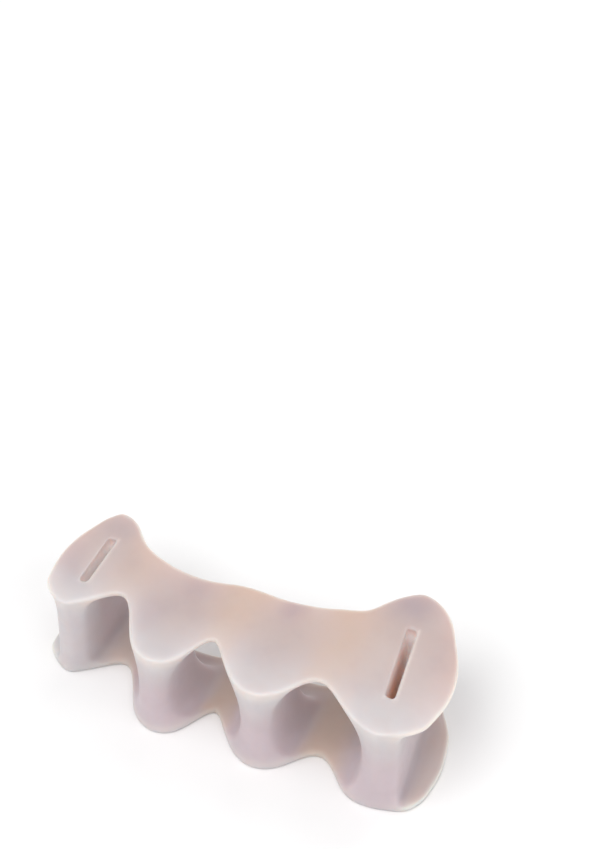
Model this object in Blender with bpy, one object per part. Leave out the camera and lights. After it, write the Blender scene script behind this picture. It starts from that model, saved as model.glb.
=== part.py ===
"""A toe separator, moulded in one piece of soft silicone.

Metres, +Z up. It stands on its sole band. +X runs from the little toe to the big toe, and -Y points
where the toes point. The origin is at the middle of the footprint, on the surface it stands on.
The body is a cage of blocks, a few millimetres each, that a Subdivision Surface rounds off.
"""

from collections import namedtuple

import bpy
from mathutils import Vector

MM = 0.001

# The cage as a whole. The rounded body ends about a third of a millimetre inside it.
LENGTH = 77.6 * MM
DEPTH = 33.2 * MM
BIG_TOE_HEIGHT = 24.0 * MM
LITTLE_TOE_HEIGHT = 21.3 * MM

# The two bands
TOP_BAND = 2.1 * MM
SOLE_BAND = 2.2 * MM
TOP_EDGE = 1.1 * MM
SOLE_EDGE = 1.3 * MM
EDGE_INSET = 1.0 * MM
TOE_CROWN = 0.5 * MM
FLANGE_DROOP = 0.9 * MM
BIG_TOE_BULGE = 2.9 * MM
LITTLE_TOE_BULGE = 1.8 * MM
SOLE_SETBACK = 1.2 * MM

# The four posts, at their narrowest
BIG_TOE_POST = 8.2 * MM
SECOND_POST = 6.4 * MM
THIRD_POST = 6.2 * MM
LITTLE_TOE_POST = 6.6 * MM
POST_SWEEP = 3.6 * MM
FRONT_HOLLOW = 0.2 * MM
END_POST_SETBACK = 2.4 * MM
MIDDLE_POST_SETBACK = 0.4 * MM

# The two slots
BIG_TOE_SLOT = 15.4 * MM
BIG_TOE_SLOT_WIDTH = 1.9 * MM
LITTLE_TOE_SLOT = 10.8 * MM
LITTLE_TOE_SLOT_WIDTH = 1.6 * MM
SLOT_END_STEP = 1.0 * MM  # the cage's rows next to a slot's ends lie this far inside it and round them
SLOT_CREASE = 0.8

SUBDIVISIONS = 1
KEPT_SHARE = 0.5

# A post's middle line, with x as a share of LENGTH and y as a share of DEPTH.
# middle is the middle of its slot, or of its inner rows, as a share of the way to the back.
Post = namedtuple("Post", "waist slot slot_width front_x front_y rear_x rear_y middle last_row setback")
POSTS = {
    "little_toe": Post(
        LITTLE_TOE_POST, LITTLE_TOE_SLOT, LITTLE_TOE_SLOT_WIDTH,
        -0.411, -0.336, -0.392, 0.354, 0.510, 8, END_POST_SETBACK,
    ),
    "third": Post(THIRD_POST, None, None, -0.168, -0.500, -0.164, 0.128, 0.480, 6, MIDDLE_POST_SETBACK),
    "second": Post(SECOND_POST, None, None, 0.088, -0.482, 0.093, 0.178, 0.480, 6, MIDDLE_POST_SETBACK),
    "big_toe": Post(
        BIG_TOE_POST, BIG_TOE_SLOT, BIG_TOE_SLOT_WIDTH,
        0.395, -0.452, 0.333, 0.490, 0.508, 8, END_POST_SETBACK,
    ),
}

# The cage's lines from front to back, little toe first, in the same shares.
# side is where a line lies across its post, from -1 to 1, and lift is its share of the crown or droop.
# reach is how far the sole band stands ahead of the top band there, in millimetres.
Line = namedtuple("Line", "kind post side front_x front_y rear_x rear_y lift reach", defaults=(0.0,))
LINES = [
    Line("rim", "little_toe", -1, -0.486, -0.208, -0.446, 0.292, -1.0),
    Line("rim", "little_toe", -1, -0.473, -0.252, -0.434, 0.334, -0.8),
    Line("post", "little_toe", -1, -0.450, -0.296, -0.418, 0.360, -0.3),
    Line("slot", "little_toe", -1, -0.422, -0.328, -0.408, 0.362, 0.0),
    Line("slot", "little_toe", 1, -0.404, -0.312, -0.388, 0.362, 0.0),
    Line("post", "little_toe", 1, -0.370, -0.252, -0.354, 0.318, 0.2),
    Line("toe", None, 0, -0.336, -0.186, -0.326, 0.225, 0.7),
    Line("toe", None, 0, -0.304, -0.134, -0.287, 0.168, 1.0),
    Line("toe", None, 0, -0.275, -0.194, -0.248, 0.146, 0.7),
    Line("post", "third", -1, -0.248, -0.335, -0.228, 0.136, 0.2),
    Line("post", "third", -0.6, -0.220, -0.446, -0.199, 0.129, 0.0),
    Line("post", "third", 0, -0.168, -0.500, -0.164, 0.126, 0.0),
    Line("post", "third", 0.6, -0.118, -0.458, -0.132, 0.132, 0.0),
    Line("post", "third", 1, -0.092, -0.352, -0.102, 0.144, 0.2),
    Line("toe", None, 0, -0.071, -0.260, -0.065, 0.162, 0.7),
    Line("toe", None, 0, -0.052, -0.215, -0.032, 0.166, 1.0),
    Line("toe", None, 0, -0.026, -0.287, 0.003, 0.168, 0.7),
    Line("post", "second", -1, 0.003, -0.370, 0.030, 0.170, 0.2),
    Line("post", "second", -0.6, 0.039, -0.449, 0.059, 0.174, 0.0),
    Line("post", "second", 0, 0.088, -0.482, 0.093, 0.184, 0.0),
    Line("post", "second", 0.6, 0.132, -0.440, 0.124, 0.198, 0.0),
    Line("post", "second", 1, 0.163, -0.363, 0.150, 0.211, 0.2),
    Line("toe", None, 0, 0.186, -0.290, 0.178, 0.229, 0.7),
    Line("toe", None, 0, 0.216, -0.242, 0.209, 0.247, 1.0),
    Line("toe", None, 0, 0.253, -0.281, 0.240, 0.274, 0.7),
    Line("post", "big_toe", -1, 0.310, -0.392, 0.270, 0.398, 0.2, 1.7),
    Line("slot", "big_toe", -1, 0.375, -0.454, 0.320, 0.497, 0.0, -0.3),
    Line("slot", "big_toe", 1, 0.405, -0.440, 0.346, 0.502, 0.0, -0.4),
    Line("post", "big_toe", 1, 0.443, -0.393, 0.384, 0.474, -0.1, 0.3),
    Line("rim", "big_toe", 0.5, 0.463, -0.350, 0.410, 0.430, -0.5, 0.8),
    Line("rim", "big_toe", 1, 0.475, -0.314, 0.426, 0.390, -0.8, 0.6),
    Line("rim", "big_toe", 1, 0.484, -0.274, 0.437, 0.342, -1.0, 0.1),
]
LAST_LINE = len(LINES) - 1
LAST_ROW = 8
SLOT_ROWS = (2, 6)
SLOT_LINES = [i for i, line in enumerate(LINES) if line.kind == "slot" and line.side < 0]
OPEN_SPAN = 0.25  # where no slot is, rows 2 and 6 lie this share of the line to each side of the middle
END_TAPERS = (0.34, 0.07)  # how much narrower a post's waist is at its end rows, and at the rows next to them
END_ROUNDING = 0.3  # how far the corners of those rows are drawn in, as a share of half the waist

# How far each level of the cage has gone from the bands' outline to the posts' narrow section.
NARROWING = {"sole": 0.0, "sole_top": 0.0, "low": 0.8, "waist": 1.0, "high": 0.8, "under": 0.0, "top": 0.0}
LEVELS = list(NARROWING)
TOP_LEVEL = len(LEVELS) - 1


def height_at(x):
    """The top band's height, which falls evenly from the big toe's post to the little toe's."""
    low_end = POSTS["little_toe"].front_x * LENGTH
    high_end = POSTS["big_toe"].rear_x * LENGTH
    share = min(max((x - low_end) / (high_end - low_end), 0.0), 1.0)
    return LITTLE_TOE_HEIGHT + share * (BIG_TOE_HEIGHT - LITTLE_TOE_HEIGHT)


def share_of_way(row, length, post=None):
    """Where a row lies between the front edge, at 0, and the back edge, at 1."""
    inset = EDGE_INSET / length
    middle = post.middle if post else 0.5
    first, last = SLOT_ROWS
    if post and post.slot:
        half = post.slot / 2 / length
        step = SLOT_END_STEP / length
        inner = {first: -half, first + 1: step - half, last - 1: half - step, last: half}.get(row, 0.0)
    else:
        inner = OPEN_SPAN * (2 * (row - first) / (last - first) - 1)
    return {0: 0.0, 1: inset, LAST_ROW - 1: 1.0 - inset, LAST_ROW: 1.0}.get(row, middle + inner)


def ends_of(item):
    front = Vector((item.front_x * LENGTH, item.front_y * DEPTH))
    rear = Vector((item.rear_x * LENGTH, item.rear_y * DEPTH))
    return front, rear


def middle_point(post, row):
    front, rear = ends_of(post)
    return front.lerp(rear, share_of_way(row, (rear - front).length, post))


def line_point(index, row, sole):
    """A point on a line of a band, seen from above."""
    line = LINES[index]
    front, rear = ends_of(line)
    post = POSTS[line.post] if line.kind == "post" else None
    share = share_of_way(row, (rear - front).length, post)
    point = front.lerp(rear, share)
    if line.kind == "slot" and SLOT_ROWS[0] <= row <= SLOT_ROWS[1]:
        point = middle_point(POSTS[line.post], row)
        point.x += line.side * POSTS[line.post].slot_width / 2
    if line.kind == "rim":
        bulge = BIG_TOE_BULGE if line.side > 0 else LITTLE_TOE_BULGE
        point.x += line.side * bulge * 4 * share * (1 - share)
    if sole:
        point.y -= line.reach * MM * (1 - share)
        if line.kind == "rim":
            point.x -= line.side * SOLE_SETBACK * min(2 * share, 1.0)
        if row >= LAST_ROW - 1:
            point.y -= SOLE_SETBACK
    return point


def on_edge(index, row):
    return index in (0, LAST_LINE) or row in (0, LAST_ROW)


def outline_ring():
    """The corners of a band's edge as (line, row), anticlockwise seen from above."""
    front = [(index, 0) for index in range(LAST_LINE)]
    right = [(LAST_LINE, row) for row in range(LAST_ROW)]
    back = [(index, LAST_ROW) for index in range(LAST_LINE, 0, -1)]
    left = [(0, row) for row in range(LAST_ROW, 0, -1)]
    return front + right + back + left


def inset_points(sole):
    """For each corner of a band's edge, the point EDGE_INSET inside it."""
    ring = outline_ring()
    points = [line_point(index, row, sole) for index, row in ring]
    inside = {}
    for i, corner in enumerate(ring):
        along = (points[(i + 1) % len(ring)] - points[i - 1]).normalized()
        inside[corner] = points[i] + EDGE_INSET * Vector((-along.y, along.x))
    return inside


INSIDE = {sole: inset_points(sole) for sole in (False, True)}


def band_point(index, row, sole):
    """A corner of the cage in a band: on its edge, just inside the edge, or on one of its lines."""
    edge_index = {1: 0, LAST_LINE - 1: LAST_LINE}.get(index, index)
    edge_row = {1: 0, LAST_ROW - 1: LAST_ROW}.get(row, row)
    if not on_edge(index, row) and (edge_index, edge_row) in INSIDE[sole]:
        return INSIDE[sole][edge_index, edge_row].copy()
    return line_point(index, row, sole)


def thickness_at(index, row, band, edge):
    """A band's thickness, which falls to a thinner edge."""
    if on_edge(index, row):
        return edge
    if index in (1, LAST_LINE - 1) or row in (1, LAST_ROW - 1):
        return (band + edge) / 2
    return band


def waist_point(index, row):
    """The same corner of the cage at its post's narrowest level."""
    line = LINES[index]
    post = POSTS[line.post]
    point = middle_point(post, row)
    half = post.waist / 2
    rows_to_end = min(row, post.last_row - row)
    if line.kind == "slot":
        point.x += line.side * post.slot_width / 2
        rounding = 0.0
    else:
        taper = END_TAPERS[rows_to_end] if rows_to_end < 2 else 0.0
        point.x += line.side * half * (1 - taper)
        rounding = END_ROUNDING * half * line.side**2
    if row <= 1:
        point.y += FRONT_HOLLOW + rounding
    elif rows_to_end <= 1:
        point.y -= post.setback + rounding
    return point


def cage_point(index, row, level):
    line = LINES[index]
    plan = band_point(index, row, level.startswith("sole"))
    top = height_at(plan.x)
    lift = line.lift * (TOE_CROWN if line.lift > 0 else FLANGE_DROOP)
    if NARROWING[level]:
        plan = plan.lerp(waist_point(index, row), NARROWING[level])
    z = {
        "sole": 0.0,
        "sole_top": thickness_at(index, row, SOLE_BAND, SOLE_EDGE),
        "low": SOLE_BAND + POST_SWEEP,
        "waist": top / 2,
        "high": top - TOP_BAND - POST_SWEEP,
        "under": top + lift - thickness_at(index, row, TOP_BAND, TOP_EDGE),
        "top": top + lift,
    }[level]
    return Vector((plan.x, plan.y, z))


def is_block(index, row, level):
    """Whether the cage holds a block between this corner and the next line, row and level."""
    if not (0 <= index < LAST_LINE and 0 <= row < LAST_ROW and 0 <= level < TOP_LEVEL):
        return False
    if index in SLOT_LINES and SLOT_ROWS[0] <= row < SLOT_ROWS[1]:
        return False
    if level in (0, TOP_LEVEL - 1):
        return True
    near, far = LINES[index], LINES[index + 1]
    in_post = near.post and near.post == far.post and "rim" not in (near.kind, far.kind)
    return bool(in_post) and row < POSTS[near.post].last_row


def cage_faces():
    """The four corners of each block face that has no block behind it, wound to point outwards."""
    sides = {
        (-1, 0, 0): [(0, 0, 0), (0, 0, 1), (0, 1, 1), (0, 1, 0)],
        (1, 0, 0): [(1, 0, 0), (1, 1, 0), (1, 1, 1), (1, 0, 1)],
        (0, -1, 0): [(0, 0, 0), (1, 0, 0), (1, 0, 1), (0, 0, 1)],
        (0, 1, 0): [(0, 1, 0), (0, 1, 1), (1, 1, 1), (1, 1, 0)],
        (0, 0, -1): [(0, 0, 0), (0, 1, 0), (1, 1, 0), (1, 0, 0)],
        (0, 0, 1): [(0, 0, 1), (1, 0, 1), (1, 1, 1), (0, 1, 1)],
    }
    for index in range(LAST_LINE):
        for row in range(LAST_ROW):
            for level in range(TOP_LEVEL):
                if not is_block(index, row, level):
                    continue
                for (di, dr, dl), corners in sides.items():
                    if not is_block(index + di, row + dr, level + dl):
                        yield [(index + i, row + r, level + z) for i, r, z in corners]


def is_slot_lip(a, b):
    """Whether a cage edge lies on the rim of a slot, at the top or at the sole."""
    for index, row, _ in (a, b):
        if LINES[index].kind != "slot" or not SLOT_ROWS[0] <= row <= SLOT_ROWS[1]:
            return False
    at_a_rim = a[2] == b[2] and a[2] in (0, TOP_LEVEL)
    return at_a_rim and (a[0] == b[0] or a[1] in SLOT_ROWS)


def cage_mesh():
    numbers, faces = {}, []
    for corners in cage_faces():
        faces.append([numbers.setdefault(corner, len(numbers)) for corner in corners])
    corners = list(numbers)
    points = [cage_point(index, row, LEVELS[level]) for index, row, level in corners]
    mesh = bpy.data.meshes.new("separator_body")
    mesh.from_pydata(points, [], faces)
    creases = mesh.attributes.new("crease_edge", "FLOAT", "EDGE")
    for edge in mesh.edges:
        a, b = (corners[vertex] for vertex in edge.vertices)
        creases.data[edge.index].value = SLOT_CREASE if is_slot_lip(a, b) else 0.0
    mesh.shade_smooth()
    return mesh


def centre_on_footprint(body):
    """Moves the cage so that the rounded body's footprint is centred on the origin."""
    evaluated = body.evaluated_get(bpy.context.evaluated_depsgraph_get())
    corners = [Vector(corner) for corner in evaluated.bound_box]
    for axis in range(2):
        middle = (min(c[axis] for c in corners) + max(c[axis] for c in corners)) / 2
        for vertex in body.data.vertices:
            vertex.co[axis] -= middle


def silicone():
    material = bpy.data.materials.new("milky_silicone")
    material.use_nodes = True
    shader = material.node_tree.nodes["Principled BSDF"]
    shader.inputs["Base Color"].default_value = (0.62, 0.58, 0.60, 1.0)
    shader.inputs["Roughness"].default_value = 0.45
    shader.inputs["Metallic"].default_value = 0.0
    shader.inputs["IOR"].default_value = 1.41
    return material


def make_body():
    body = bpy.data.objects.new("separator_body", cage_mesh())
    bpy.context.collection.objects.link(body)
    body.data.materials.append(silicone())
    rounding = body.modifiers.new("rounding", "SUBSURF")
    rounding.levels = SUBDIVISIONS
    rounding.render_levels = SUBDIVISIONS
    thinning = body.modifiers.new("thinning", "DECIMATE")
    thinning.ratio = KEPT_SHARE
    centre_on_footprint(body)
    return body


def main():
    for old in list(bpy.data.objects):
        bpy.data.objects.remove(old)
    make_body()


main()
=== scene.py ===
"""Dresses a moulded silicone toe separator and sets a plain studio round it.

The body is a cage of blocks, a few millimetres each, that a node tree rounds off and finishes.
+X runs from the little toe to the big toe, -Y points where the toes point, and +Z is up.
"""

from collections import namedtuple
from math import cos, radians, sin

import bpy
import numpy as np
from bpy.props import FloatProperty, FloatVectorProperty, IntProperty, PointerProperty
from mathutils import Matrix, Vector


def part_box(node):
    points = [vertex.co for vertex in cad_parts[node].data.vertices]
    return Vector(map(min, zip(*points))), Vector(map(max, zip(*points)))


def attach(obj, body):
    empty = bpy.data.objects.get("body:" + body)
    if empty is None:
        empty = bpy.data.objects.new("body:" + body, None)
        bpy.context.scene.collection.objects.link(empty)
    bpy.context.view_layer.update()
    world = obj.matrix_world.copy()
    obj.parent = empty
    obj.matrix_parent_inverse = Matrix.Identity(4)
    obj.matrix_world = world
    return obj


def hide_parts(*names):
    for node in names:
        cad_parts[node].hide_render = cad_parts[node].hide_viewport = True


bl_info = {
    "name": "Toe Separator",
    "version": (1, 0, 0),
    "blender": (4, 5, 0),
    "location": "View3D > Sidebar > Separator",
    "description": "Makes the soft body of a toe separator and a plain studio round it",
    "category": "Mesh",
}

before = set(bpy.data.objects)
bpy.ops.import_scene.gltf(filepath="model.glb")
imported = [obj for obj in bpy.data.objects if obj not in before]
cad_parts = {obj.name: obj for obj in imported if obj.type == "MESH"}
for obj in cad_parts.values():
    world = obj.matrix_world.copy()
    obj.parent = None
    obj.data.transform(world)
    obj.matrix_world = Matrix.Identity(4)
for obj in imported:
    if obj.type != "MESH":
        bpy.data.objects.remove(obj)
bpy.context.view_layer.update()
CAD_NODE = "separator_body"

MM = 0.001


class SeparatorSizes(bpy.types.PropertyGroup):
    """Sizes of the moulded body."""

    length: FloatProperty(
        name="Length", description="Cage length from the little toe's flange to the big toe's",
        default=0.0776, min=0.02, unit="LENGTH", subtype="DISTANCE",
    )
    depth: FloatProperty(
        name="Depth", description="Cage depth from the lobes' tips to the back of the big toe's flange",
        default=0.0332, min=0.01, unit="LENGTH", subtype="DISTANCE",
    )
    big_toe_height: FloatProperty(
        name="Big toe height", description="Height of the top band at the big toe's post",
        default=0.0240, min=0.01, unit="LENGTH", subtype="DISTANCE",
    )
    little_toe_height: FloatProperty(
        name="Little toe height", description="Height of the top band at the little toe's post",
        default=0.0213, min=0.01, unit="LENGTH", subtype="DISTANCE",
    )
    top_band: FloatProperty(
        name="Top band", description="Thickness of the band over the toes",
        default=0.0021, min=0.0005, unit="LENGTH", subtype="DISTANCE",
    )
    sole_band: FloatProperty(
        name="Sole band", description="Thickness of the band under the toes",
        default=0.0022, min=0.0005, unit="LENGTH", subtype="DISTANCE",
    )
    top_edge: FloatProperty(
        name="Top edge", description="Thickness of the top band at its edge",
        default=0.0011, min=0.0003, unit="LENGTH", subtype="DISTANCE",
    )
    sole_edge: FloatProperty(
        name="Sole edge", description="Thickness of the sole band at its edge",
        default=0.0013, min=0.0003, unit="LENGTH", subtype="DISTANCE",
    )
    relief: FloatProperty(
        name="Relief", description="Height of the faint waviness that the mould leaves",
        default=0.00006, min=0.0, unit="LENGTH", subtype="DISTANCE",
    )
    rounding: IntProperty(name="Rounding", description="Subdivision steps of the body", default=3, min=1, max=4)


class SeparatorFinish(bpy.types.PropertyGroup):
    """Tones of the milky silicone, some of which are painted light and shade, and how it scatters light."""

    body: FloatVectorProperty(
        name="Body", description="Milky tone of the bands", default=(0.575, 0.490, 0.482), size=3,
        min=0.0, max=1.0, subtype="COLOR",
    )
    # Also painted shade: the same warmer, slightly darker tone is laid on the bands' back rows.
    thin: FloatVectorProperty(
        name="Thin", description="Warmer tone where the band is thin over a toe", default=(0.585, 0.463, 0.398),
        size=3, min=0.0, max=1.0, subtype="COLOR",
    )
    # Painted shade: the lavender grey darkens listed patches, behind the middle posts and elsewhere on the bands, and
    # also tints faint random cloudy patches.
    cloud: FloatVectorProperty(
        name="Cloud", description="Lavender grey of the cloudy patches behind the middle posts",
        default=(0.445, 0.362, 0.382), size=3, min=0.0, max=1.0, subtype="COLOR",
    )
    # Painted light: the paler tone lightens the lobes' tips and the posts' upper fronts, where the light falls from
    # the front.
    front: FloatVectorProperty(
        name="Front", description="Paler tone of the lobes' tips", default=(0.640, 0.622, 0.632), size=3,
        min=0.0, max=1.0, subtype="COLOR",
    )
    post: FloatVectorProperty(
        name="Post", description="Cool tone of the posts", default=(0.600, 0.508, 0.542), size=3,
        min=0.0, max=1.0, subtype="COLOR",
    )
    # Painted light: the near-white tone lightens the slots' walls near their mouths, which lie in shade.
    slot: FloatVectorProperty(
        name="Slot", description="Pale tone of the slots near their mouths", default=(0.98, 0.875, 0.885), size=3,
        min=0.0, max=1.0, subtype="COLOR",
    )
    # Painted shade: the warm tone darkens the slots' walls deep inside, most in the big toe's slot.
    deep: FloatVectorProperty(
        name="Deep", description="Warm tone deep inside the slots", default=(1.0, 0.635, 0.56), size=3,
        min=0.0, max=1.0, subtype="COLOR",
    )
    # Painted highlight: the pale cream brightens the bands' thin edges and the slots' lips.
    rim: FloatVectorProperty(
        name="Rim", description="Pale cream of the thin edges, where light comes through",
        default=(0.85, 0.775, 0.715), size=3, min=0.0, max=1.0, subtype="COLOR",
    )
    roughness: FloatProperty(
        name="Roughness", description="Mean roughness of the frosted surface", default=0.46, min=0.0, max=1.0,
        subtype="FACTOR",
    )
    scatter: FloatProperty(
        name="Scatter", description="How far red light spreads inside the silicone", default=0.004, min=0.0,
        unit="LENGTH", subtype="DISTANCE",
    )


class SeparatorStage(bpy.types.PropertyGroup):
    """Camera and light."""

    azimuth: FloatProperty(
        name="Azimuth", description="Turn of the camera towards the big toe's side", default=radians(25.0),
        unit="ROTATION", subtype="ANGLE",
    )
    elevation: FloatProperty(
        name="Elevation", description="Angle of the camera's axis below the horizon", default=radians(51.0),
        unit="ROTATION", subtype="ANGLE",
    )
    distance: FloatProperty(
        name="Distance", description="Distance from the camera to the body along the camera's axis",
        default=0.75, min=0.1, unit="LENGTH", subtype="DISTANCE",
    )
    floor_size: FloatProperty(
        name="Floor", description="Side of the pale floor", default=6.0, min=0.5, unit="LENGTH", subtype="DISTANCE",
    )


# Sizes that a user would rarely change
EDGE_INSET = 1.0 * MM
TOE_CROWN = 0.5 * MM
FLANGE_DROOP = 0.9 * MM
BIG_TOE_BULGE = 2.9 * MM
LITTLE_TOE_BULGE = 1.8 * MM
SOLE_SETBACK = 1.2 * MM
POST_SWEEP = 3.6 * MM
FRONT_HOLLOW = 0.2 * MM
END_POST_SETBACK = 2.4 * MM
MIDDLE_POST_SETBACK = 0.4 * MM
SLOT_END_STEP = 1.0 * MM  # the cage's rows next to a slot's ends lie this far inside it and round them
SLOT_CREASE = 0.8

# A post's middle line, with x as a share of the length and y as a share of the depth.
# middle is the middle of its slot, or of its inner rows, as a share of the way to the back.
Post = namedtuple("Post", "waist slot slot_width front_x front_y rear_x rear_y middle last_row setback")
POSTS = {
    "little_toe": Post(
        6.6 * MM, 10.8 * MM, 1.6 * MM,
        -0.411, -0.336, -0.392, 0.354, 0.510, 8, END_POST_SETBACK,
    ),
    "third": Post(6.2 * MM, None, None, -0.168, -0.500, -0.164, 0.128, 0.480, 6, MIDDLE_POST_SETBACK),
    "second": Post(6.4 * MM, None, None, 0.088, -0.482, 0.093, 0.178, 0.480, 6, MIDDLE_POST_SETBACK),
    "big_toe": Post(
        8.2 * MM, 15.4 * MM, 1.9 * MM,
        0.395, -0.452, 0.333, 0.490, 0.508, 8, END_POST_SETBACK,
    ),
}

# The cage's lines from front to back, little toe first, in the same shares.
# side is where a line lies across its post, from -1 to 1, and lift is its share of the crown or droop.
# reach is how far the sole band stands ahead of the top band there, in millimetres.
Line = namedtuple("Line", "kind post side front_x front_y rear_x rear_y lift reach", defaults=(0.0,))
LINES = [
    Line("rim", "little_toe", -1, -0.486, -0.208, -0.446, 0.292, -1.0),
    Line("rim", "little_toe", -1, -0.473, -0.252, -0.434, 0.334, -0.8),
    Line("post", "little_toe", -1, -0.450, -0.296, -0.418, 0.360, -0.3),
    Line("slot", "little_toe", -1, -0.422, -0.328, -0.408, 0.362, 0.0),
    Line("slot", "little_toe", 1, -0.404, -0.312, -0.388, 0.362, 0.0),
    Line("post", "little_toe", 1, -0.370, -0.252, -0.354, 0.318, 0.2),
    Line("toe", None, 0, -0.336, -0.186, -0.326, 0.225, 0.7),
    Line("toe", None, 0, -0.304, -0.134, -0.287, 0.168, 1.0),
    Line("toe", None, 0, -0.275, -0.194, -0.248, 0.146, 0.7),
    Line("post", "third", -1, -0.248, -0.335, -0.228, 0.136, 0.2),
    Line("post", "third", -0.6, -0.220, -0.446, -0.199, 0.129, 0.0),
    Line("post", "third", 0, -0.168, -0.500, -0.164, 0.126, 0.0),
    Line("post", "third", 0.6, -0.118, -0.458, -0.132, 0.132, 0.0),
    Line("post", "third", 1, -0.092, -0.352, -0.102, 0.144, 0.2),
    Line("toe", None, 0, -0.071, -0.260, -0.065, 0.162, 0.7),
    Line("toe", None, 0, -0.052, -0.215, -0.032, 0.166, 1.0),
    Line("toe", None, 0, -0.026, -0.287, 0.003, 0.168, 0.7),
    Line("post", "second", -1, 0.003, -0.370, 0.030, 0.170, 0.2),
    Line("post", "second", -0.6, 0.039, -0.449, 0.059, 0.174, 0.0),
    Line("post", "second", 0, 0.088, -0.482, 0.093, 0.184, 0.0),
    Line("post", "second", 0.6, 0.132, -0.440, 0.124, 0.198, 0.0),
    Line("post", "second", 1, 0.163, -0.363, 0.150, 0.211, 0.2),
    Line("toe", None, 0, 0.186, -0.290, 0.178, 0.229, 0.7),
    Line("toe", None, 0, 0.216, -0.242, 0.209, 0.247, 1.0),
    Line("toe", None, 0, 0.253, -0.281, 0.240, 0.274, 0.7),
    Line("post", "big_toe", -1, 0.310, -0.392, 0.270, 0.398, 0.2, 1.7),
    Line("slot", "big_toe", -1, 0.375, -0.454, 0.320, 0.497, 0.0, -0.3),
    Line("slot", "big_toe", 1, 0.405, -0.440, 0.346, 0.502, 0.0, -0.4),
    Line("post", "big_toe", 1, 0.443, -0.393, 0.384, 0.474, -0.1, 0.3),
    Line("rim", "big_toe", 0.5, 0.463, -0.350, 0.410, 0.430, -0.5, 0.8),
    Line("rim", "big_toe", 1, 0.475, -0.314, 0.426, 0.390, -0.8, 0.6),
    Line("rim", "big_toe", 1, 0.484, -0.274, 0.437, 0.342, -1.0, 0.1),
]
LAST_LINE = len(LINES) - 1
LAST_ROW = 8
SLOT_ROWS = (2, 6)
SLOT_LINES = [i for i, line in enumerate(LINES) if line.kind == "slot" and line.side < 0]
OPEN_SPAN = 0.25  # where no slot is, rows 2 and 6 lie this share of the line to each side of the middle
END_TAPERS = (0.34, 0.07)  # how much narrower a post's waist is at its end rows, and at the rows next to them
END_ROUNDING = 0.3  # how far the corners of those rows are drawn in, as a share of half the waist

# How far each level of the cage has gone from the bands' outline to the posts' narrow section.
NARROWING = {"sole": 0.0, "sole_top": 0.0, "low": 0.8, "waist": 1.0, "high": 0.8, "under": 0.0, "top": 0.0}
LEVELS = list(NARROWING)
TOP_LEVEL = len(LEVELS) - 1


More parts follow.
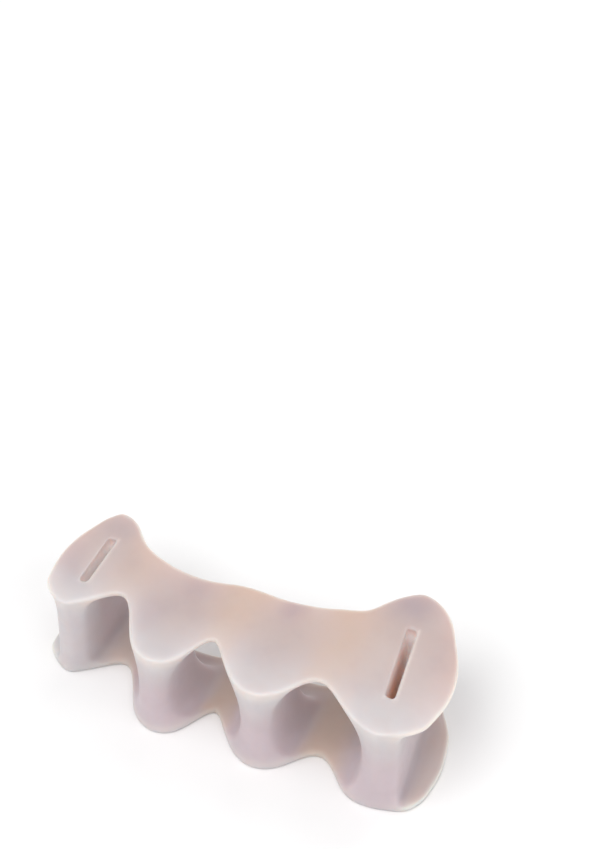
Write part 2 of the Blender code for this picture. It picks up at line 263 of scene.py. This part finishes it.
class Cage:
    """The blocks that the body is rounded from, worked out from the sizes."""

    def __init__(self, sizes):
        self.sizes = sizes
        self.inside = {sole: self.inset_points(sole) for sole in (False, True)}

    def height_at(self, x):
        """The top band's height, which falls evenly from the big toe's post to the little toe's."""
        low_end = POSTS["little_toe"].front_x * self.sizes.length
        high_end = POSTS["big_toe"].rear_x * self.sizes.length
        share = min(max((x - low_end) / (high_end - low_end), 0.0), 1.0)
        low, high = self.sizes.little_toe_height, self.sizes.big_toe_height
        return low + share * (high - low)

    @staticmethod
    def share_of_way(row, length, post=None):
        """Where a row lies between the front edge, at 0, and the back edge, at 1."""
        inset = EDGE_INSET / length
        first, last = SLOT_ROWS
        middle = post.middle if post else 0.5
        if post and post.slot:
            half = post.slot / 2 / length
            step = SLOT_END_STEP / length
            inner = {first: -half, first + 1: step - half, last - 1: half - step, last: half}.get(row, 0.0)
        else:
            inner = OPEN_SPAN * (2 * (row - first) / (last - first) - 1)
        return {0: 0.0, 1: inset, LAST_ROW - 1: 1.0 - inset, LAST_ROW: 1.0}.get(row, middle + inner)

    def ends_of(self, item):
        front = Vector((item.front_x * self.sizes.length, item.front_y * self.sizes.depth))
        rear = Vector((item.rear_x * self.sizes.length, item.rear_y * self.sizes.depth))
        return front, rear

    def middle_point(self, post, row):
        front, rear = self.ends_of(post)
        return front.lerp(rear, self.share_of_way(row, (rear - front).length, post))

    def line_point(self, index, row, sole):
        """A point on a line of a band, seen from above."""
        line = LINES[index]
        front, rear = self.ends_of(line)
        post = POSTS[line.post] if line.kind == "post" else None
        share = self.share_of_way(row, (rear - front).length, post)
        point = front.lerp(rear, share)
        if line.kind == "slot" and SLOT_ROWS[0] <= row <= SLOT_ROWS[1]:
            point = self.middle_point(POSTS[line.post], row)
            point.x += line.side * POSTS[line.post].slot_width / 2
        if line.kind == "rim":
            bulge = BIG_TOE_BULGE if line.side > 0 else LITTLE_TOE_BULGE
            point.x += line.side * bulge * 4 * share * (1 - share)
        if sole:
            point.y -= line.reach * MM * (1 - share)
            if line.kind == "rim":
                point.x -= line.side * SOLE_SETBACK * min(2 * share, 1.0)
            if row >= LAST_ROW - 1:
                point.y -= SOLE_SETBACK
        return point

    @staticmethod
    def outline_ring():
        """The corners of a band's edge as (line, row), anticlockwise seen from above."""
        front = [(index, 0) for index in range(LAST_LINE)]
        right = [(LAST_LINE, row) for row in range(LAST_ROW)]
        back = [(index, LAST_ROW) for index in range(LAST_LINE, 0, -1)]
        left = [(0, row) for row in range(LAST_ROW, 0, -1)]
        return front + right + back + left

    def inset_points(self, sole):
        """For each corner of a band's edge, the point EDGE_INSET inside it."""
        ring = self.outline_ring()
        points = [self.line_point(index, row, sole) for index, row in ring]
        inside = {}
        for i, corner in enumerate(ring):
            along = (points[(i + 1) % len(ring)] - points[i - 1]).normalized()
            inside[corner] = points[i] + EDGE_INSET * Vector((-along.y, along.x))
        return inside

    def band_point(self, index, row, sole):
        """A corner of the cage in a band: on its edge, just inside the edge, or on one of its lines."""
        edge_index = {1: 0, LAST_LINE - 1: LAST_LINE}.get(index, index)
        edge_row = {1: 0, LAST_ROW - 1: LAST_ROW}.get(row, row)
        if not on_edge(index, row) and (edge_index, edge_row) in self.inside[sole]:
            return self.inside[sole][edge_index, edge_row].copy()
        return self.line_point(index, row, sole)

    def waist_point(self, index, row):
        """The same corner of the cage at its post's narrowest level."""
        line = LINES[index]
        post = POSTS[line.post]
        point = self.middle_point(post, row)
        half = post.waist / 2
        rows_to_end = min(row, post.last_row - row)
        if line.kind == "slot":
            point.x += line.side * post.slot_width / 2
            rounding = 0.0
        else:
            taper = END_TAPERS[rows_to_end] if rows_to_end < 2 else 0.0
            point.x += line.side * half * (1 - taper)
            rounding = END_ROUNDING * half * line.side**2
        if row <= 1:
            point.y += FRONT_HOLLOW + rounding
        elif rows_to_end <= 1:
            point.y -= post.setback + rounding
        return point

    def point(self, index, row, level):
        line = LINES[index]
        plan = self.band_point(index, row, level.startswith("sole"))
        top = self.height_at(plan.x)
        lift = line.lift * (TOE_CROWN if line.lift > 0 else FLANGE_DROOP)
        if NARROWING[level]:
            plan = plan.lerp(self.waist_point(index, row), NARROWING[level])
        z = {
            "sole": 0.0,
            "sole_top": thickness_at(index, row, self.sizes.sole_band, self.sizes.sole_edge),
            "low": self.sizes.sole_band + POST_SWEEP,
            "waist": top / 2,
            "high": top - self.sizes.top_band - POST_SWEEP,
            "under": top + lift - thickness_at(index, row, self.sizes.top_band, self.sizes.top_edge),
            "top": top + lift,
        }[level]
        return Vector((plan.x, plan.y, z))


def on_edge(index, row):
    return index in (0, LAST_LINE) or row in (0, LAST_ROW)


def thickness_at(index, row, band, edge):
    """A band's thickness, which falls to a thinner edge."""
    if on_edge(index, row):
        return edge
    if index in (1, LAST_LINE - 1) or row in (1, LAST_ROW - 1):
        return (band + edge) / 2
    return band


def is_block(index, row, level):
    """Whether the cage holds a block between this corner and the next line, row and level."""
    if not (0 <= index < LAST_LINE and 0 <= row < LAST_ROW and 0 <= level < TOP_LEVEL):
        return False
    if index in SLOT_LINES and SLOT_ROWS[0] <= row < SLOT_ROWS[1]:
        return False
    if level in (0, TOP_LEVEL - 1):
        return True
    near, far = LINES[index], LINES[index + 1]
    in_post = near.post and near.post == far.post and "rim" not in (near.kind, far.kind)
    return bool(in_post) and row < POSTS[near.post].last_row


def cage_faces():
    """The four corners of each block face that has no block behind it, wound to point outwards."""
    sides = {
        (-1, 0, 0): [(0, 0, 0), (0, 0, 1), (0, 1, 1), (0, 1, 0)],
        (1, 0, 0): [(1, 0, 0), (1, 1, 0), (1, 1, 1), (1, 0, 1)],
        (0, -1, 0): [(0, 0, 0), (1, 0, 0), (1, 0, 1), (0, 0, 1)],
        (0, 1, 0): [(0, 1, 0), (0, 1, 1), (1, 1, 1), (1, 1, 0)],
        (0, 0, -1): [(0, 0, 0), (0, 1, 0), (1, 1, 0), (1, 0, 0)],
        (0, 0, 1): [(0, 0, 1), (1, 0, 1), (1, 1, 1), (0, 1, 1)],
    }
    for index in range(LAST_LINE):
        for row in range(LAST_ROW):
            for level in range(TOP_LEVEL):
                if not is_block(index, row, level):
                    continue
                for (di, dr, dl), corners in sides.items():
                    if not is_block(index + di, row + dr, level + dl):
                        yield [(index + i, row + r, level + z) for i, r, z in corners]


def in_slot_wall(corner):
    index, row, _ = corner
    return LINES[index].kind == "slot" and SLOT_ROWS[0] <= row <= SLOT_ROWS[1]


def is_slot_lip(a, b):
    """Whether a cage edge lies on the rim of a slot, at the top or at the sole."""
    if not (in_slot_wall(a) and in_slot_wall(b)) or a[2] != b[2] or a[2] not in (0, TOP_LEVEL):
        return False
    return a[0] == b[0] or a[1] in SLOT_ROWS


# Strength of each tone at the cage's corners, painted light and shade among them; the node tree spreads them softly
# over the body.
# Painted light from the front, strongest at the front rows.
FRONT_LIGHT_BY_ROW = (1.0, 0.9, 0.45, 0.2, 0.05, 0.0, 0.0, 0.0, 0.0)
THIN_BY_KIND = {"toe": 1.0, "rim": 0.2, "post": 0.0, "slot": 0.0}
# Painted shade towards the back rows, in the thin tone.
WARM_REAR_SHADE_BY_ROW = (0.0, 0.0, 0.0, 0.1, 0.3, 0.5, 0.55, 0.55, 0.55)
# Painted highlight along the bands' edges, by the kind of line.
RIM_HIGHLIGHT_BY_KIND = {"rim": 1.0, "toe": 0.65, "post": 0.7, "slot": 0.5}
POST_BY_ROW = (1.0, 1.0, 0.9, 0.7, 0.55, 0.5, 0.5, 0.5, 0.5)
# Painted light on the posts' upper fronts and down the little toe's front.
LIT_FRONT_ROWS = 2  # the posts are paler at their upper fronts, and the little toe's down its front, up to this row
# Painted warm shade inside the slots, by level, row and post.
DEEP_SHADE_BY_LEVEL = (0.5, 1.0, 1.0, 1.0, 1.0, 0.4, 0.0)
DEEP_SHADE_BY_ROW = {2: 1.0, 3: 1.0, 4: 1.0, 5: 0.4, 6: 0.15}
DEEP_SHADE_BY_POST = {"little_toe": 0.25, "big_toe": 1.0}
BLUR_STEPS = {"thin": 60, "front": 40, "post": 12, "slot": 2, "deep": 3, "rim": 2}


def tones_at(index, row, level):
    """How strongly each tone, painted light and shade among them, colours a corner of the cage."""
    line = LINES[index]
    in_top = level >= TOP_LEVEL - 1
    in_band = in_top or level <= 1
    in_post = line.kind in ("post", "slot") and row <= POSTS[line.post].last_row and not in_top
    # Painted light: the posts' upper fronts, and the little toe's front, take the paler front tone.
    pale = row <= LIT_FRONT_ROWS and (line.post == "little_toe" or in_post and level >= TOP_LEVEL - 2)
    slot_wall = in_slot_wall((index, row, level))
    warmth = 0.65 if line.front_x < POSTS["third"].front_x else 1.0
    rim = 0.0
    if on_edge(index, row) and in_band:
        rim = 1.0 if row == LAST_ROW else RIM_HIGHLIGHT_BY_KIND[line.kind]
    # The front, slot and rim tones paint light, the deep tone paints warm shade, and the thin tone also paints shade
    # at the back.
    return {
        "thin": max(THIN_BY_KIND[line.kind], WARM_REAR_SHADE_BY_ROW[row]) * warmth if in_band else 0.0,
        "front": FRONT_LIGHT_BY_ROW[row] * (1.0 if line.post else 0.5) if in_top or pale else 0.0,
        "post": (0.3 if pale else POST_BY_ROW[row]) if in_post else 0.0,
        "slot": 1.0 if slot_wall and level not in (0, TOP_LEVEL) else 0.0,
        "deep": DEEP_SHADE_BY_LEVEL[level] * DEEP_SHADE_BY_ROW[row] * DEEP_SHADE_BY_POST[line.post] if slot_wall else 0.0,
        "rim": rim,
    }


# Patches of painted shade: where each lies on the body in millimetres, how far it spreads that way, and its strength.
ShadePatch = namedtuple("ShadePatch", "x y spread_x spread_y strength")
SHADE_PATCHES = [
    ShadePatch(-11.9, 1.7, 2.0, 1.6, 0.65),
    ShadePatch(-13.8, -1.6, 4.2, 4.2, 0.36),
    ShadePatch(5.5, 3.8, 1.6, 2.1, 0.75),
    ShadePatch(6.4, -1.4, 3.8, 4.4, 0.28),
    ShadePatch(24.9, 13.0, 4.6, 3.6, 0.75),
    ShadePatch(33.6, 6.0, 3.0, 4.5, 0.30),
    ShadePatch(-31.0, 8.6, 3.2, 2.6, 0.50),
    ShadePatch(-36.5, -3.0, 2.4, 4.2, 0.60),
    ShadePatch(-18.6, -8.8, 2.6, 3.4, 0.70),
    ShadePatch(-12.0, -15.0, 4.0, 2.4, 0.50),
]


# Painted highlight along the slots' lips: how wide it spreads and how strong it is.
LIP_HIGHLIGHT_SPREAD = 0.3 * MM
LIP_HIGHLIGHT_STRENGTH = 0.4


def plan_of(mesh):
    """The vertices as seen from above, one row each."""
    points = np.empty(len(mesh.vertices) * 3)
    mesh.vertices.foreach_get("co", points)
    return points.reshape(-1, 3)[:, :2]


def add_shade_patches(mesh):
    """Stores how strongly the painted shade patches darken each vertex."""
    x, y = plan_of(mesh).T / MM
    unshaded = np.ones(len(x))
    for patch in SHADE_PATCHES:
        away = ((x - patch.x) / patch.spread_x) ** 2 + ((y - patch.y) / patch.spread_y) ** 2
        unshaded *= 1.0 - patch.strength * np.exp(-away / 2)
    mesh.attributes.new("cloud", "FLOAT", "POINT").data.foreach_set("value", 1.0 - unshaded)


def add_lip_highlights(mesh, cage):
    """Stores how strongly a painted highlight brightens each vertex near the lips of a slot that catch the light, at
    its right and its front.
    """
    plan = plan_of(mesh)
    nearest = np.full(len(plan), np.inf)
    for post in POSTS.values():
        if post.slot is None:
            continue
        left, right = (Vector((side * post.slot_width / 2, 0.0)) for side in (-1, 1))
        front, rear = (cage.middle_point(post, row) for row in SLOT_ROWS)
        for start, end in ((front + right, rear + right), (front + left, front + right)):
            way = np.array(end - start)
            share = np.clip((plan - start) @ way / (way @ way), 0.0, 1.0)
            nearest = np.minimum(nearest, np.linalg.norm(plan - start - share[:, None] * way, axis=1))
    lips = LIP_HIGHLIGHT_STRENGTH * np.exp(-((nearest / LIP_HIGHLIGHT_SPREAD) ** 2))
    mesh.attributes.new("lip", "FLOAT", "POINT").data.foreach_set("value", lips)


def cage_mesh(cage):
    numbers, faces = {}, []
    for corners in cage_faces():
        faces.append([numbers.setdefault(corner, len(numbers)) for corner in corners])
    corners = list(numbers)
    points = [cage.point(index, row, LEVELS[level]) for index, row, level in corners]
    mesh = bpy.data.meshes.new("separator_cage")
    mesh.from_pydata(points, [], faces)
    creases = mesh.attributes.new("crease_edge", "FLOAT", "EDGE")
    for edge in mesh.edges:
        a, b = (corners[vertex] for vertex in edge.vertices)
        creases.data[edge.index].value = SLOT_CREASE if is_slot_lip(a, b) else 0.0
    tones = [tones_at(*corner) for corner in corners]
    for name in BLUR_STEPS:
        attribute = mesh.attributes.new(name, "FLOAT", "POINT")
        attribute.data.foreach_set("value", [tone[name] for tone in tones])
    return mesh


class Nodes:
    """Adds nodes to a tree and links them, so that a material or a modifier reads as a list of steps."""

    def __init__(self, tree):
        self.tree = tree

    def add(self, kind, inputs=None, **settings):
        node = self.tree.nodes.new(kind)
        for name, value in settings.items():
            setattr(node, name, value)
        for name, value in (inputs or {}).items():
            if isinstance(value, bpy.types.NodeSocket):
                self.tree.links.new(value, node.inputs[name])
            else:
                node.inputs[name].default_value = value
        return node


def body_finish_tree(material):
    """Rounds the cage off, gives it the mould's faint waviness and its material."""
    tree = bpy.data.node_groups.new("body_finish", "GeometryNodeTree")
    sockets = [
        ("Cage", "NodeSocketGeometry"), ("Rounding", "NodeSocketInt"), ("Relief height", "NodeSocketFloat"),
        ("Relief size", "NodeSocketFloat"), ("Seed", "NodeSocketFloat"),
    ]
    for name, kind in sockets:
        tree.interface.new_socket(name, in_out="INPUT", socket_type=kind)
    tree.interface.new_socket("Body", in_out="OUTPUT", socket_type="NodeSocketGeometry")
    nodes = Nodes(tree)
    given = nodes.add("NodeGroupInput").outputs
    crease = nodes.add("GeometryNodeInputNamedAttribute", {"Name": "crease_edge"}, data_type="FLOAT")
    rounded = nodes.add("GeometryNodeSubdivisionSurface", {
        "Mesh": given["Cage"], "Level": given["Rounding"], "Edge Crease": crease.outputs["Attribute"],
    })
    toned = rounded.outputs["Mesh"]
    for name, steps in BLUR_STEPS.items():
        raw = nodes.add("GeometryNodeInputNamedAttribute", {"Name": name}, data_type="FLOAT")
        soft = nodes.add("GeometryNodeBlurAttribute", {
            "Value": raw.outputs["Attribute"], "Iterations": steps,
        }, data_type="FLOAT")
        toned = nodes.add("GeometryNodeStoreNamedAttribute", {
            "Geometry": toned, "Name": name, "Value": soft.outputs["Value"],
        }, data_type="FLOAT", domain="POINT").outputs["Geometry"]
    per_size = nodes.add("ShaderNodeMath", {0: 1.0, 1: given["Relief size"]}, operation="DIVIDE")
    noise = nodes.add("ShaderNodeTexNoise", {
        "Vector": nodes.add("GeometryNodeInputPosition").outputs["Position"], "W": given["Seed"],
        "Scale": per_size.outputs["Value"], "Detail": 2.0, "Roughness": 0.5,
    }, noise_dimensions="4D")
    centred = nodes.add("ShaderNodeMath", {0: noise.outputs["Fac"], 1: 0.5}, operation="SUBTRACT")
    height = nodes.add("ShaderNodeMath", {
        0: centred.outputs["Value"], 1: given["Relief height"],
    }, operation="MULTIPLY")
    offset = nodes.add("ShaderNodeVectorMath", {
        0: nodes.add("GeometryNodeInputNormal").outputs["Normal"], "Scale": height.outputs["Value"],
    }, operation="SCALE")
    waved = nodes.add("GeometryNodeSetPosition", {
        "Geometry": toned, "Offset": offset.outputs["Vector"],
    })
    smooth = nodes.add("GeometryNodeSetShadeSmooth", {"Geometry": waved.outputs["Geometry"]})
    real = nodes.add("GeometryNodeRealizeInstances", {"Geometry": smooth.outputs["Geometry"]})
    painted = nodes.add("GeometryNodeSetMaterial", {"Geometry": real.outputs["Geometry"], "Material": material})
    nodes.add("NodeGroupOutput", {"Body": painted.outputs["Geometry"]})
    return tree


def mesh_from_tree(cage, tree, values):
    """The plain mesh that the tree makes of a cage, with its inputs set by their identifiers."""
    carrier = bpy.data.objects.new("cage_carrier", cage)
    bpy.context.collection.objects.link(carrier)
    finish = carrier.modifiers.new("body_finish", "NODES")
    finish.node_group = tree
    for item in tree.interface.items_tree:
        if item.in_out == "INPUT" and item.name in values:
            finish[item.identifier] = values[item.name]
    depsgraph = bpy.context.evaluated_depsgraph_get()
    mesh = bpy.data.meshes.new_from_object(
        carrier.evaluated_get(depsgraph), preserve_all_data_layers=True, depsgraph=depsgraph,
    )
    bpy.data.objects.remove(carrier)
    return mesh


def centre_on(mesh, low, high):
    """Moves the mesh so that its footprint is centred where the solid's is."""
    points = np.empty(len(mesh.vertices) * 3, np.float32)
    mesh.vertices.foreach_get("co", points)
    points = points.reshape(-1, 3)
    middle = (points.min(axis=0) + points.max(axis=0)) / 2
    points[:, 0] += (low.x + high.x) / 2 - middle[0]
    points[:, 1] += (low.y + high.y) / 2 - middle[1]
    points[:, 2] += low.z - points[:, 2].min()
    mesh.vertices.foreach_set("co", points.ravel())
    mesh.update()


def mix_colours(nodes, factor, first, second):
    """Adds a colour mix, whose colour sockets are numbers 6 and 7, and returns its result."""
    mix = nodes.add("ShaderNodeMix", {"Factor": factor}, data_type="RGBA")
    for number, colour in ((6, first), (7, second)):
        if isinstance(colour, bpy.types.NodeSocket):
            nodes.tree.links.new(colour, mix.inputs[number])
        else:
            mix.inputs[number].default_value = (*colour, 1.0)
    return mix.outputs[2]


# The lips' painted highlight takes the rim's highlight tone.
TONE_OF = {"lip": "rim"}  # attributes that take the tone of another
RIM_HIGHLIGHT_SHARPNESS = 3.0  # power that keeps the rim's tone close to the edge


def milky_silicone(finish):
    """Frosted translucent silicone, toned by the attributes that the node tree leaves on the body, some of which paint
    light and shade.
    """
    material = bpy.data.materials.new("milky_silicone")
    material.use_nodes = True
    nodes = Nodes(material.node_tree)
    shader = material.node_tree.nodes["Principled BSDF"]
    place = nodes.add("ShaderNodeTexCoord").outputs["Object"]
    haze = nodes.add("ShaderNodeTexNoise", {"Vector": place, "Scale": 140.0, "Detail": 3.0, "Roughness": 0.55})
    colour = tuple(finish.body)
    # The front, slot and rim tones and the lips' highlight paint light; the deep tone paints warm shade, the lavender
    # grey paints shade patches, and the thin tone paints shade at the back as well as the warm tone over the toes.
    for name in ("thin", "cloud", "front", "post", "slot", "deep", "rim", "lip"):
        strength = nodes.add("ShaderNodeAttribute", attribute_name=name).outputs["Fac"]
        if name in ("thin", "cloud", "front"):
            wander = nodes.add("ShaderNodeMapRange", {
                "Value": haze.outputs["Fac"], "From Min": 0.3, "From Max": 0.7, "To Min": 0.7, "To Max": 1.15,
            })
            strength = nodes.add("ShaderNodeMath", {
                0: strength, 1: wander.outputs["Result"],
            }, operation="MULTIPLY", use_clamp=True).outputs["Value"]
        elif name == "rim":
            strength = nodes.add("ShaderNodeMath", {0: strength, 1: RIM_HIGHLIGHT_SHARPNESS}, operation="POWER").outputs["Value"]
        colour = mix_colours(nodes, strength, colour, tuple(getattr(finish, TONE_OF.get(name, name))))
    patches = nodes.add("ShaderNodeMapRange", {
        "Value": haze.outputs["Fac"], "From Min": 0.5, "From Max": 0.75, "To Min": 0.0, "To Max": 0.22,
    })
    colour = mix_colours(nodes, patches.outputs["Result"], colour, tuple(finish.cloud))
    nodes.tree.links.new(colour, shader.inputs["Base Color"])

    frost = nodes.add("ShaderNodeTexNoise", {"Vector": place, "Scale": 900.0, "Detail": 4.0, "Roughness": 0.6})
    rough = nodes.add("ShaderNodeMapRange", {
        "Value": frost.outputs["Fac"], "From Min": 0.3, "From Max": 0.7,
        "To Min": finish.roughness - 0.05, "To Max": finish.roughness + 0.07,
    })
    nodes.tree.links.new(rough.outputs["Result"], shader.inputs["Roughness"])
    grain = nodes.add("ShaderNodeTexNoise", {"Vector": place, "Scale": 3500.0, "Detail": 2.0})
    bump = nodes.add("ShaderNodeBump", {
        "Height": grain.outputs["Fac"], "Strength": 0.12, "Distance": 0.00004,
    })
    nodes.tree.links.new(bump.outputs["Normal"], shader.inputs["Normal"])

    shader.inputs["IOR"].default_value = 1.41
    shader.inputs["Subsurface Weight"].default_value = 0.85
    shader.inputs["Subsurface Radius"].default_value = (1.0, 0.72, 0.62)
    slot = nodes.add("ShaderNodeAttribute", attribute_name="slot").outputs["Fac"]
    spread = nodes.add("ShaderNodeMapRange", {
        "Value": slot, "To Min": finish.scatter, "To Max": finish.scatter * 4.0,
    })
    nodes.tree.links.new(spread.outputs["Result"], shader.inputs["Subsurface Scale"])
    shader.inputs["Subsurface Anisotropy"].default_value = 0.2
    return material


class SEPARATOR_OT_make_body(bpy.types.Operator):
    """Makes the soft moulded body in place of its plain solid"""

    bl_idname = "separator.make_body"
    bl_label = "Make body"

    def execute(self, context):
        sizes = context.scene.separator_sizes
        material = milky_silicone(context.scene.separator_finish)
        tree = body_finish_tree(material)
        values = {"Rounding": sizes.rounding, "Relief height": sizes.relief, "Relief size": 0.006, "Seed": 3.0}
        cage = Cage(sizes)
        mesh = mesh_from_tree(cage_mesh(cage), tree, values)
        centre_on(mesh, *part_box(CAD_NODE))
        add_shade_patches(mesh)
        add_lip_highlights(mesh, cage)
        body = bpy.data.objects.new("soft_body", mesh)
        context.scene.collection.objects.link(body)
        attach(body, "root")
        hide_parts(CAD_NODE)
        return {"FINISHED"}


# Where the photograph's frame catches the body: this point of it falls on this pixel.
FRAME_PIXELS = (595, 849)
AIM_POINT = Vector((1.1 * MM, -2.65 * MM, 12.0 * MM))
AIM_PIXEL = (255.0, 665.0)
PIXELS_PER_METRE = 5600.0
SENSOR = 36.0


def make_camera(stage):
    """A long lens that looks down on the body, with the body low in the frame."""
    a, e = stage.azimuth, stage.elevation
    ahead = Vector((-sin(a) * cos(e), cos(a) * cos(e), -sin(e)))
    right = Vector((cos(a), sin(a), 0.0))
    up = right.cross(ahead)
    focal_pixels = PIXELS_PER_METRE * stage.distance
    across = (AIM_PIXEL[0] - FRAME_PIXELS[0] / 2) / focal_pixels
    down = (AIM_PIXEL[1] - FRAME_PIXELS[1] / 2) / focal_pixels
    data = bpy.data.cameras.new("camera")
    data.sensor_width = SENSOR
    data.lens = focal_pixels * SENSOR / max(FRAME_PIXELS)
    data.clip_start = 0.01
    camera = bpy.data.objects.new("camera", data)
    bpy.context.scene.collection.objects.link(camera)
    turn = Matrix((right, up, -ahead)).transposed().to_4x4()
    place = AIM_POINT - stage.distance * (ahead + across * right - down * up)
    camera.matrix_world = Matrix.Translation(place) @ turn
    bpy.context.scene.camera = camera


def pale_floor():
    material = bpy.data.materials.new("pale_floor")
    material.use_nodes = True
    nodes = Nodes(material.node_tree)
    shader = material.node_tree.nodes["Principled BSDF"]
    place = nodes.add("ShaderNodeTexCoord").outputs["Object"]
    noise = nodes.add("ShaderNodeTexNoise", {"Vector": place, "Scale": 40.0, "Detail": 3.0})
    tone = mix_colours(nodes, noise.outputs["Fac"], (0.90, 0.90, 0.90), (0.94, 0.94, 0.94))
    nodes.tree.links.new(tone, shader.inputs["Base Color"])
    shader.inputs["Roughness"].default_value = 0.8
    return material


def make_floor(stage):
    half = stage.floor_size / 2
    mesh = bpy.data.meshes.new("floor")
    mesh.from_pydata([(-half, -half, 0), (half, -half, 0), (half, half, 0), (-half, half, 0)], [], [(0, 1, 2, 3)])
    mesh.materials.append(pale_floor())
    floor = bpy.data.objects.new("floor", mesh)
    bpy.context.scene.collection.objects.link(floor)


# Each soft light: where it hangs in metres, the side of its square, and its power in watts.
Light = namedtuple("Light", "name place side power")
LIGHTS = [
    Light("key", (-0.22, -0.50, 1.20), 0.9, 9.6),
    Light("fill", (0.85, -0.35, 0.80), 0.9, 3.0),
    Light("back", (0.10, 0.80, 1.00), 0.9, 3.0),
]
WORLD_STRENGTH = 0.50


def make_lights():
    for light in LIGHTS:
        data = bpy.data.lights.new(light.name, "AREA")
        data.size = light.side
        data.energy = light.power
        lamp = bpy.data.objects.new(light.name, data)
        bpy.context.scene.collection.objects.link(lamp)
        lamp.location = light.place
        lamp.rotation_euler = (AIM_POINT - Vector(light.place)).to_track_quat("-Z", "Y").to_euler()
    world = bpy.data.worlds.new("studio")
    world.use_nodes = True
    sky = world.node_tree.nodes["Background"]
    sky.inputs["Color"].default_value = (1.0, 1.0, 1.0, 1.0)
    sky.inputs["Strength"].default_value = WORLD_STRENGTH
    bpy.context.scene.world = world


class SEPARATOR_OT_make_stage(bpy.types.Operator):
    """Makes the camera, the pale floor and the soft lights"""

    bl_idname = "separator.make_stage"
    bl_label = "Make stage"

    def execute(self, context):
        stage = context.scene.separator_stage
        make_camera(stage)
        make_floor(stage)
        make_lights()
        context.scene.view_settings.view_transform = "Standard"
        return {"FINISHED"}


class SEPARATOR_PT_panel(bpy.types.Panel):
    """Lists the separator's operators and sizes"""

    bl_idname = "SEPARATOR_PT_panel"
    bl_label = "Toe separator"
    bl_space_type = "VIEW_3D"
    bl_region_type = "UI"
    bl_category = "Separator"

    def draw(self, context):
        for group in ("separator_sizes", "separator_finish", "separator_stage"):
            settings = getattr(context.scene, group)
            column = self.layout.column(align=True)
            for name in settings.__annotations__:
                column.prop(settings, name)
        self.layout.operator(SEPARATOR_OT_make_stage.bl_idname)
        self.layout.operator(SEPARATOR_OT_make_body.bl_idname)


GROUPS = {
    "separator_sizes": SeparatorSizes,
    "separator_finish": SeparatorFinish,
    "separator_stage": SeparatorStage,
}
CLASSES = (*GROUPS.values(), SEPARATOR_OT_make_stage, SEPARATOR_OT_make_body, SEPARATOR_PT_panel)


def register():
    for cls in CLASSES:
        bpy.utils.register_class(cls)
    for name, group in GROUPS.items():
        setattr(bpy.types.Scene, name, PointerProperty(type=group))


def unregister():
    for name in GROUPS:
        delattr(bpy.types.Scene, name)
    for cls in reversed(CLASSES):
        bpy.utils.unregister_class(cls)


def main():
    register()
    bpy.ops.separator.make_stage()
    bpy.ops.separator.make_body()


if __name__ == "__main__":
    main()
